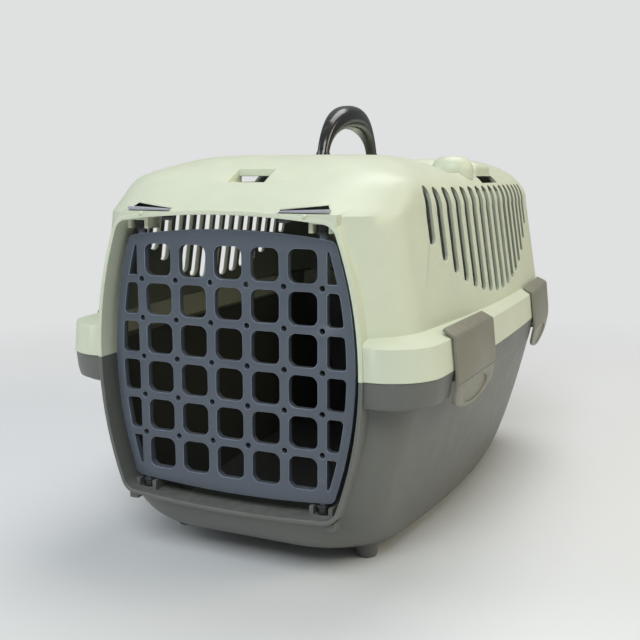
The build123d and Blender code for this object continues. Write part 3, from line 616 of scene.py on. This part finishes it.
def sharp_edges(skin: bmesh.types.BMesh, rounding: Rounding) -> list[bmesh.types.BMEdge]:
    """Find the edges where two faces meet at a fold.

    Args:
        skin: The skin.
        rounding: The rounding with the least fold that counts.

    Returns:
        The edges.
    """
    least = math.radians(rounding.fold_degrees)
    return [edge for edge in skin.edges if len(edge.link_faces) == 2 and edge.calc_face_angle(0.0) > least]


@dataclass
class LeverPocket:
    """The mouth of a lever's pocket in the visor's slope, in millimetres on the right side."""

    start: float = 42.25
    end: float = 82.0
    floor: float = 269.5
    roof: Range = (274.1, 277.5)
    lip: Range = (271.6, 275.0)
    lip_start: float = 44.0
    lip_end: float = 77.0
    foot_end: float = 81.0
    end_curve: float = 1.5
    slope: float = 1.56
    slope_foot: float = -235.6
    bow_start: float = 55.0
    bow_run: float = 27.0
    bow_depth: float = 3.5
    bow_curve: float = 2.4
    tolerance: float = 0.05
    slope_tolerance: float = 0.6
    margin: float = 1.0
    skin_margin: float = 0.5
    level_margin: float = 0.2
    depth: Range = (-235.0, -216.0)
    most_upward: float = 0.5

    def slope_depth(self, across: float, height: float) -> float:
        """Tell how far forward the visor's slope stands.

        Args:
            across: Distance from the middle.
            height: Height above the floor.

        Returns:
            The place along the carrier.
        """
        bow = max(0.0, across - self.bow_start) / self.bow_run
        return self.slope_foot + self.bow_depth * bow ** self.bow_curve + self.slope * (height - self.floor)

    def drawn(self, across: float, height: float) -> tuple[float, float] | None:
        """Tell where a corner of the mouth goes.

        Args:
            across: The corner's distance from the middle.
            height: Its height above the floor.

        Returns:
            Its new distance and height, or nothing where it stays.
        """
        share = (across - self.start) / (self.end - self.start)
        if across > self.end - self.tolerance:
            climb = clamped((height - self.floor) / (self.roof[1] - self.floor))
            return (between((self.foot_end, self.lip_end), climb ** self.end_curve),
                    between((self.floor, self.lip[1]), climb))
        if abs(height - between(self.roof, share)) < self.tolerance:
            return between((self.lip_start, self.lip_end), share), between(self.lip, share)
        if across < self.start + self.tolerance:
            return self.lip_start, height
        return None

    def draw_in(self, skin: bmesh.types.BMesh) -> None:
        """Draw the mouth of both pockets in to a low lip with a round outer end.

        Args:
            skin: The lid's skin.
        """
        for vert in skin.verts:
            across, along, height = abs(vert.co.x) / MM, vert.co.y / MM, vert.co.z / MM
            if not self.start - self.tolerance < across < self.end + self.tolerance:
                continue
            if not self.floor - self.tolerance < height < self.roof[1] + self.tolerance:
                continue
            if abs(along - self.slope_depth(across, height)) > self.slope_tolerance:
                continue
            drawn = self.drawn(across, height)
            if drawn:
                new_along = self.slope_depth(*drawn)
                vert.co = Vector((math.copysign(drawn[0], vert.co.x), new_along, drawn[1])) * MM

    def darken(self, skin: bmesh.types.BMesh) -> None:
        """Paint shade onto the walls and roofs of both pockets, so that their recesses read dark.

        Args:
            skin: The lid's skin.
        """
        shade = skin.faces.layers.float[SHADE]
        low = Vector((self.start - self.margin, self.depth[0], self.floor + self.level_margin))
        high = Vector((self.end + self.margin, self.depth[1], self.roof[1] + self.level_margin))
        for face in skin.faces:
            centre = face.calc_center_median() / MM
            centre.x = abs(centre.x)
            if face.normal.z < self.most_upward and inside(low, centre, high):
                if centre.y > self.slope_depth(centre.x, centre.z) + self.skin_margin:
                    face[shade] = 1.0


@dataclass
class Block:
    """A small block at the end of a ledge, in millimetres on the right side."""

    keep: float
    end: float
    depth: Range
    height: Range
    wall: float
    wall_slope: float = 0.48
    squeeze: float = 0.08
    foot: float = 1.0
    lift: float = 0.0
    sides: tuple[int, ...] = (-1, 1)

    def shorten(self, skin: bmesh.types.BMesh) -> None:
        """Draw in the block's outer end on its sides, along the wall that it stands on.

        Args:
            skin: The shell's skin.
        """
        low = Vector((self.keep, self.depth[0], self.height[0]))
        high = Vector((self.end, self.depth[1], self.height[1]))
        for vert in skin.verts:
            across = abs(vert.co.x) / MM
            place = Vector((across, vert.co.y / MM, vert.co.z / MM))
            if math.copysign(1, vert.co.x) in self.sides and inside(low, place, high):
                drawn = (across - self.keep) * (1 - self.squeeze)
                vert.co.x -= math.copysign(drawn, vert.co.x) * MM
                if place.y > self.wall:
                    vert.co.y -= drawn * self.wall_slope * MM
                if place.z < low.z + self.foot:
                    vert.co.z += self.lift * MM


LEDGE_BLOCKS = tuple(Block(keep, 93.05, (-239.3, -222.0), (258.9, 269.6), wall=-232.0, lift=3.5,
                           sides=(side,)) for side, keep in ((1, 88.6), (-1, 85.0)))
RIM_LUGS = (Block(86.0, 90.05, (-236.1, -219.0), (47.2, 53.1), wall=-230.0),)


@dataclass
class Shells:
    """The tub and the lid, in millimetres."""

    smooth_degrees: float = 28.0
    rim_front: float = -240.0
    rim_tolerance: float = 0.05
    rim_rounding: Rounding = Rounding(0.9, 3, 60.0)
    well_rounding: Rounding = Rounding(1.1, 3, 40.0)
    well_half_width: float = 15.6
    well_reach: Range = (180.9, 202.0)
    well_floor: float = 289.9
    nub_radius: float = 1.8
    nub_place: Triple = (65.5, -239.4, 267.9)
    nub_sides: int = 20
    nub_rings: int = 12
    inner_shade: float = 0.75
    cabin_middle: Triple = (0.0, 0.0, 140.0)
    cabin_half_width: float = 150.0
    cabin_half_length: float = 214.0
    least_inward: float = 0.25
    shoulder_swell: float = 4.8
    shoulder_push: Triple = (0.62, -0.35, 0.7)
    shoulder_start: float = 55.0
    shoulder_run: float = 40.0
    shoulder_middle: Range = (-173.0, 289.0)
    shoulder_reach: Range = (33.0, 11.0)
    shoulder_fade: float = 0.03
    slit_low: Triple = (60.0, 0.0, 190.0)
    slit_high: Triple = (160.0, 165.0, 300.0)
    slit_draft: float = 1.9
    least_lengthwise: float = 0.6

    def build(self, nodes: dict[str, bpy.types.Object]) -> None:
        """Work up both shells.

        Args:
            nodes: The frame's nodes.
        """
        tub = Moulding("base_shell", "tub", "carrier", "grey_plastic", TUB_PLASTIC.build())
        skin = tub.merged(nodes)
        flat_faces_joined(skin)
        self.darken_inside(skin)
        for block in RIM_LUGS:
            block.shorten(skin)
        self.round_rim(skin)
        tub.finish(skin, self.smooth_degrees)

        lid = Moulding("lid_shell", "lid", "carrier", "green_plastic", LID_PLASTIC.build())
        skin = lid.merged(nodes)
        self.swell_shoulders(skin)
        flat_faces_joined(skin)
        self.darken_inside(skin)
        self.open_slits(skin)
        pocket = LeverPocket()
        pocket.draw_in(skin)
        pocket.darken(skin)
        for block in LEDGE_BLOCKS:
            block.shorten(skin)
        self.round_rim(skin)
        well = [edge for edge in sharp_edges(skin, self.well_rounding) if self.in_well(edge)]
        round_edges(skin, well, self.well_rounding)
        self.nubs(skin)
        lid.finish(skin, self.smooth_degrees)

    def swell_shoulders(self, skin: bmesh.types.BMesh) -> None:
        """Fill out the lid's front shoulders on both sides.

        Args:
            skin: The lid's skin.
        """
        across, forward, upward = self.shoulder_push
        for vert in skin.verts:
            share = clamped((abs(vert.co.x) / MM - self.shoulder_start) / self.shoulder_run)
            eased = share * share * (3 - 2 * share)
            along = (vert.co.y / MM - self.shoulder_middle[0]) / self.shoulder_reach[0]
            height = (vert.co.z / MM - self.shoulder_middle[1]) / self.shoulder_reach[1]
            weight = max(0.0, eased * math.exp(-along ** 2 - height ** 2) - self.shoulder_fade)
            outward = Vector((math.copysign(across, vert.co.x), forward, upward))
            vert.co += outward * (self.shoulder_swell * weight * MM)

    def darken_inside(self, skin: bmesh.types.BMesh) -> None:
        """Paint shade onto the cabin's own faces, so that they read darker than the outside.

        Args:
            skin: The shell's skin.
        """
        shade = skin.faces.layers.float[SHADE]
        middle = Vector(self.cabin_middle) * MM
        for face in skin.faces:
            centre = face.calc_center_median()
            inward = (middle - centre).normalized()
            if abs(centre.y) < self.cabin_half_length * MM and abs(centre.x) < self.cabin_half_width * MM:
                if face.normal.dot(inward) > self.least_inward:
                    face[shade] = self.inner_shade

    def open_slits(self, skin: bmesh.types.BMesh) -> None:
        """Give the walls of the vent slits a draft, so that each slit widens towards the cabin.

        Args:
            skin: The lid's skin, with its inner faces shaded.
        """
        shade = skin.faces.layers.float[SHADE]
        moves: dict[bmesh.types.BMVert, float] = {}
        for face in skin.faces:
            centre = face.calc_center_median() / MM
            place = (abs(centre.x), abs(centre.y), centre.z)
            if abs(face.normal.y) < self.least_lengthwise or face[shade] > 0.0:
                continue
            if inside(self.slit_low, place, self.slit_high):
                for vert in face.verts:
                    if any(other[shade] > 0.0 for other in vert.link_faces):
                        moves[vert] = -math.copysign(self.slit_draft, face.normal.y)
        for vert, move in moves.items():
            vert.co.y += move * MM

    def round_rim(self, skin: bmesh.types.BMesh) -> None:
        """Round the front edges of the rim.

        Args:
            skin: The shell's skin.
        """
        rim = [edge for edge in sharp_edges(skin, self.rim_rounding) if self.on_rim(edge)]
        round_edges(skin, rim, self.rim_rounding)

    def on_rim(self, edge: bmesh.types.BMEdge) -> bool:
        """Tell whether an edge runs round the front of the rim.

        Args:
            edge: The edge.

        Returns:
            True where both of its ends lie on the rim's front.
        """
        return all(abs(vert.co.y - self.rim_front * MM) < self.rim_tolerance * MM for vert in edge.verts)

    def in_well(self, edge: bmesh.types.BMEdge) -> bool:
        """Tell whether an edge belongs to the mouth of a strap well.

        Args:
            edge: The edge.

        Returns:
            True where both of its ends lie on the well's mouth.
        """
        near, far = self.well_reach
        return all(abs(vert.co.x) < self.well_half_width * MM and near * MM < abs(vert.co.y) < far * MM
                   and vert.co.z > self.well_floor * MM for vert in edge.verts)

    def nubs(self, skin: bmesh.types.BMesh) -> None:
        """Raise a small nub on the visor's lip under each lever.

        Args:
            skin: The lid's skin.
        """
        across, along, height = self.nub_place
        for side in (-1, 1):
            place = Matrix.Translation(Vector((side * across, along, height)) * MM)
            bmesh.ops.create_uvsphere(skin, u_segments=self.nub_sides, v_segments=self.nub_rings,
                                      radius=self.nub_radius * MM, matrix=place)


@dataclass
class GrilleDoor:
    """The barrel-shaped grille with its rounded windows."""

    rounding: Rounding = Rounding(1.3, 3, 60.0)
    slimmed: float = 1.6
    pin_reach: float = 24.0
    least_rearward: float = 0.7

    def build(self, nodes: dict[str, bpy.types.Object]) -> None:
        """Work up the grille and dress its pins.

        Args:
            nodes: The frame's nodes.
        """
        moulding = Moulding("door_grille", "door_panel", "door", "dark_grey_plastic", DOOR_PLASTIC.build())
        skin = moulding.merged(nodes)
        flat_faces_joined(skin)
        self.slim(skin)
        round_edges(skin, sharp_edges(skin, self.rounding), self.rounding)
        moulding.finish(skin)
        pin_material = PIN_PLASTIC.build()
        for level in ("bottom", "top"):
            for side in ("left", "right"):
                dress(nodes[f"door_pin_{level}_{side}"], pin_material)

    def slim(self, skin: bmesh.types.BMesh) -> None:
        """Bring the back of the bars forward, away from the corners that hold the pins.

        Args:
            skin: The door's skin.
        """
        pins = [sum(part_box(f"door_pin_{level}_{side}"), Vector()) / 2 for level in ("bottom", "top")
                for side in ("left", "right")]
        back = {vert for face in skin.faces if face.normal.y > self.least_rearward for vert in face.verts}
        for vert in back:
            nearest = min((vert.co.xz - pin.xz).length for pin in pins)
            if nearest > self.pin_reach * MM:
                vert.co.y -= self.slimmed * MM


def dress(obj: bpy.types.Object, material: bpy.types.Material) -> None:
    """Give one of the frame's own nodes its finish.

    Args:
        obj: The node's object.
        material: The finish.
    """
    obj.data.materials.clear()
    obj.data.materials.append(material)
    log.info("%s: dressed", obj.name)


@dataclass
class SmallPieces:
    """Clips, levers, belt guides, handle and pins."""

    clip_rounding: Rounding = Rounding(0.7, 2, 50.0)
    lever_rounding: Rounding = Rounding(0.6, 2, 50.0)
    head_top: float = 269.0
    blade_middle: float = 271.05
    blade_top: Range = (271.3, 272.6)
    blade_run: Range = (46.0, 70.0)

    def build(self, nodes: dict[str, bpy.types.Object]) -> None:
        """Work up and dress the small pieces.

        Args:
            nodes: The frame's nodes.
        """
        clip_material = CLIP_PLASTIC.build()
        lever_material = LEVER_PLASTIC.build()
        steel = PIN_STEEL.build()
        for side in ("left", "right"):
            for end in ("front", "rear"):
                self.clip(nodes, f"{end}_{side}", clip_material)
                dress(nodes[f"clip_axle_{end}_{side}"], steel)
            self.lever(nodes, side, lever_material)
            dress(nodes[f"belt_guide_{side}"], bpy.data.materials[LID_PLASTIC.name])
        CarryHandle().build(nodes)
        for end in ("front", "rear"):
            dress(nodes[f"handle_pin_{end}"], steel)

    def clip(self, nodes: dict[str, bpy.types.Object], corner: str, material: bpy.types.Material) -> None:
        """Work up one clip with rounded edges.

        Args:
            nodes: The frame's nodes.
            corner: The clip's end and side.
            material: The finish.
        """
        name = f"clip_{corner}"
        moulding = Moulding(name, f"{name}_plate", name, "clip_plastic", material)
        skin = moulding.merged(nodes)
        flat_faces_joined(skin)
        round_edges(skin, sharp_edges(skin, self.clip_rounding), self.clip_rounding)
        moulding.finish(skin)

    def lever(self, nodes: dict[str, bpy.types.Object], side: str, material: bpy.types.Material) -> None:
        """Work up one door lever, whose blade grows thicker towards its outer end.

        Args:
            nodes: The frame's nodes.
            side: Left or right.
            material: The finish.
        """
        name = f"lever_{side}"
        moulding = Moulding(f"door_{name}", f"{name}_key", name, "lever_plastic", material)
        skin = moulding.merged(nodes)
        flat_faces_joined(skin)
        # Painted shade: the lever's head, under the visor, is marked fully shaded.
        shade = skin.faces.layers.float[SHADE]
        for face in skin.faces:
            if face.calc_center_median().z < self.head_top * MM:
                face[shade] = 1.0
        near, far = self.blade_run
        for vert in skin.verts:
            if vert.co.z > self.blade_middle * MM:
                share = clamped((abs(vert.co.x) / MM - near) / (far - near))
                vert.co.z = between(self.blade_top, share) * MM
        round_edges(skin, sharp_edges(skin, self.lever_rounding), self.lever_rounding)
        moulding.finish(skin)


@dataclass
class CarryHandle:
    """The folding handle: two slim legs that swell into a wide round grip."""

    pivot: float = 303.5
    half_span: float = 65.0
    rise: float = 54.5
    inner_half_span: float = 55.5
    inner_rise: float = 33.5
    inner_fullness: float = 0.85
    leg_half_width: float = 5.0
    grip_half_width: float = 11.0
    swell: float = 3.4
    cut: float = 312.0
    first_degrees: float = 14.5
    stations: int = 36
    sides: int = 48
    fullness: float = 0.8
    groove_depth: float = 0.09
    groove_at: float = -0.42
    groove_width: float = 0.16
    smooth_degrees: float = 40.0

    def build(self, nodes: dict[str, bpy.types.Object]) -> None:
        """Keep the feet with their eyes, and sweep the arch between them.

        Args:
            nodes: The frame's nodes.
        """
        moulding = Moulding("handle", "handle_arch", "handle", "handle_plastic", HANDLE_PLASTIC.build())
        skin = moulding.merged(nodes)
        flat_faces_joined(skin)
        bmesh.ops.bisect_plane(skin, geom=[*skin.verts, *skin.edges, *skin.faces], clear_outer=True,
                               plane_co=(0.0, 0.0, self.cut * MM), plane_no=(0.0, 0.0, 1.0))
        open_edges = [edge for edge in skin.edges if edge.is_boundary]
        front = [edge for edge in open_edges if edge.verts[0].co.y < 0]
        rear = [edge for edge in open_edges if edge.verts[0].co.y > 0]
        last = front
        for station in range(self.stations + 1):
            ring = self.ring(skin, station / self.stations)
            bmesh.ops.bridge_loops(skin, edges=last + ring)
            last = ring
        bmesh.ops.bridge_loops(skin, edges=last + rear)
        bmesh.ops.recalc_face_normals(skin, faces=skin.faces)
        moulding.finish(skin, self.smooth_degrees)

    def ring(self, skin: bmesh.types.BMesh, share: float) -> list[bmesh.types.BMEdge]:
        """Add one ring of the arch.

        Args:
            skin: The handle's skin.
            share: How far along the arch, from the front foot to the rear.

        Returns:
            The ring's edges.
        """
        first = math.radians(self.first_degrees)
        angle = first + (math.pi - 2 * first) * share
        outer = Vector((0.0, -self.half_span * math.cos(angle), self.rise * math.sin(angle)))
        along = math.copysign(abs(math.cos(angle)) ** self.inner_fullness, math.cos(angle))
        upward = math.sin(angle) ** self.inner_fullness
        inner = Vector((0.0, -self.inner_half_span * along, self.inner_rise * upward))
        middle = (outer + inner) / 2 + Vector((0.0, 0.0, self.pivot))
        half_depth = (outer - inner) / 2
        grip = math.sin(angle) ** self.swell
        half_width = between((self.leg_half_width, self.grip_half_width), grip)
        made = bmesh.ops.create_circle(skin, cap_ends=False, segments=self.sides, radius=1.0)
        for vert in made["verts"]:
            across = math.copysign(abs(vert.co.x) ** self.fullness, vert.co.x)
            outward = math.copysign(abs(vert.co.y) ** self.fullness, vert.co.y)
            groove = math.exp(-((outward - self.groove_at) / self.groove_width) ** 2)
            across *= 1 - self.groove_depth * grip * groove
            vert.co = (middle + Vector((half_width * across, 0.0, 0.0)) + half_depth * outward) * MM
        return list(dict.fromkeys(edge for vert in made["verts"] for edge in vert.link_edges))


@dataclass(frozen=True)
class SoftBox:
    """A square soft lamp, in metres and watts."""

    name: str
    place: Triple
    size: float
    power: float
    colour: Colour
    aim: Triple = (0.0, 0.0, 0.15)


@dataclass
class Studio:
    """Pale floor, soft lamps and the photograph's camera, in metres."""

    camera_place: Triple = (0.3212, -0.7871, 0.2967)
    camera_turn_degrees: Triple = (80.71, 0.0, 24.01)
    lens_mm: float = 50.5
    sensor_mm: float = 36.0
    floor_colour: Colour = (0.7, 0.7, 0.695)
    backdrop_colour: Colour = (0.74, 0.745, 0.75)
    floor_roughness: float = 0.7
    floor_reach: float = 12.0
    fade: Range = (0.4, 1.15)
    sky_colour: Colour = (0.9, 0.95, 1.0)
    sky_strength: float = 0.25
    soft_boxes: tuple[SoftBox, ...] = (
        SoftBox("key", (0.35, -1.7, 1.7), 1.0, 30.0, (0.9, 0.96, 1.0)),
        SoftBox("fill", (-1.7, -0.8, 0.9), 1.0, 10.0, (0.88, 0.95, 1.0)),
        SoftBox("side", (1.8, 0.3, 1.1), 0.9, 14.0, (1.0, 0.91, 0.66)),
        SoftBox("top", (0.1, 0.7, 2.0), 1.3, 20.0, (1.0, 1.0, 1.0), (0.0, 0.0, 0.2)))

    def build(self) -> None:
        """Set the stage."""
        self.camera()
        self.floor()
        self.sky()
        self.lamps()
        bpy.context.scene.view_settings.view_transform = "Standard"

    def camera(self) -> None:
        """Stand the camera where the photograph was taken from."""
        data = bpy.data.cameras.new("camera")
        data.lens = self.lens_mm
        data.sensor_width = self.sensor_mm
        camera = bpy.data.objects.new("camera", data)
        camera.location = self.camera_place
        camera.rotation_euler = [math.radians(angle) for angle in self.camera_turn_degrees]
        bpy.context.scene.collection.objects.link(camera)
        bpy.context.scene.camera = camera

    def floor(self) -> None:
        """Lay a pale floor that fades into the backdrop before the horizon."""
        skin = bmesh.new()
        bmesh.ops.create_grid(skin, x_segments=1, y_segments=1, size=self.floor_reach)
        mesh = bpy.data.meshes.new("floor")
        skin.to_mesh(mesh)
        skin.free()
        material = bpy.data.materials.new("floor")
        material.use_nodes = True
        tree = material.node_tree
        shader = tree.nodes["Principled BSDF"]
        shader.inputs["Base Color"].default_value = (*self.floor_colour, 1.0)
        shader.inputs["Roughness"].default_value = self.floor_roughness
        glow = tree.nodes.new("ShaderNodeEmission")
        glow.inputs["Color"].default_value = (*self.backdrop_colour, 1.0)
        place = tree.nodes.new("ShaderNodeTexCoord").outputs["Object"]
        reach = tree.nodes.new("ShaderNodeVectorMath")
        reach.operation = "LENGTH"
        tree.links.new(place, reach.inputs[0])
        fade = remap(tree, reach.outputs["Value"], self.fade, NONE_TO_ALL)
        fade.node.interpolation_type = "SMOOTHSTEP"
        path = tree.nodes.new("ShaderNodeLightPath")
        seen = combine(tree, "MULTIPLY", fade, path.outputs["Is Camera Ray"])
        mix = tree.nodes.new("ShaderNodeMixShader")
        tree.links.new(seen, mix.inputs["Fac"])
        tree.links.new(shader.outputs["BSDF"], mix.inputs[1])
        tree.links.new(glow.outputs["Emission"], mix.inputs[2])
        tree.links.new(mix.outputs["Shader"], tree.nodes["Material Output"].inputs["Surface"])
        mesh.materials.append(material)
        floor = bpy.data.objects.new("floor", mesh)
        bpy.context.scene.collection.objects.link(floor)

    def sky(self) -> None:
        """Set the surrounding light, and the backdrop that the camera sees in its place."""
        world = bpy.data.worlds.new("studio")
        world.use_nodes = True
        tree = world.node_tree
        light = tree.nodes["Background"]
        light.inputs["Color"].default_value = (*self.sky_colour, 1.0)
        light.inputs["Strength"].default_value = self.sky_strength
        backdrop = tree.nodes.new("ShaderNodeBackground")
        backdrop.inputs["Color"].default_value = (*self.backdrop_colour, 1.0)
        mix = tree.nodes.new("ShaderNodeMixShader")
        tree.links.new(tree.nodes.new("ShaderNodeLightPath").outputs["Is Camera Ray"], mix.inputs["Fac"])
        tree.links.new(light.outputs["Background"], mix.inputs[1])
        tree.links.new(backdrop.outputs["Background"], mix.inputs[2])
        tree.links.new(mix.outputs["Shader"], tree.nodes["World Output"].inputs["Surface"])
        bpy.context.scene.world = world

    def lamps(self) -> None:
        """Hang the soft boxes."""
        for box in self.soft_boxes:
            data = bpy.data.lights.new(box.name, "AREA")
            data.size = box.size
            data.energy = box.power
            data.color = box.colour
            lamp = bpy.data.objects.new(box.name, data)
            lamp.location = box.place
            lamp.rotation_euler = (Vector(box.aim) - Vector(box.place)).to_track_quat("-Z", "Y").to_euler()
            bpy.context.scene.collection.objects.link(lamp)


def main() -> None:
    """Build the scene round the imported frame."""
    logging.basicConfig(level=logging.INFO, format="%(name)s %(message)s")
    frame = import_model()
    nodes = frame["nodes"]
    Studio().build()
    Shells().build(nodes)
    GrilleDoor().build(nodes)
    SmallPieces().build(nodes)


if __name__ == "__main__":
    main()
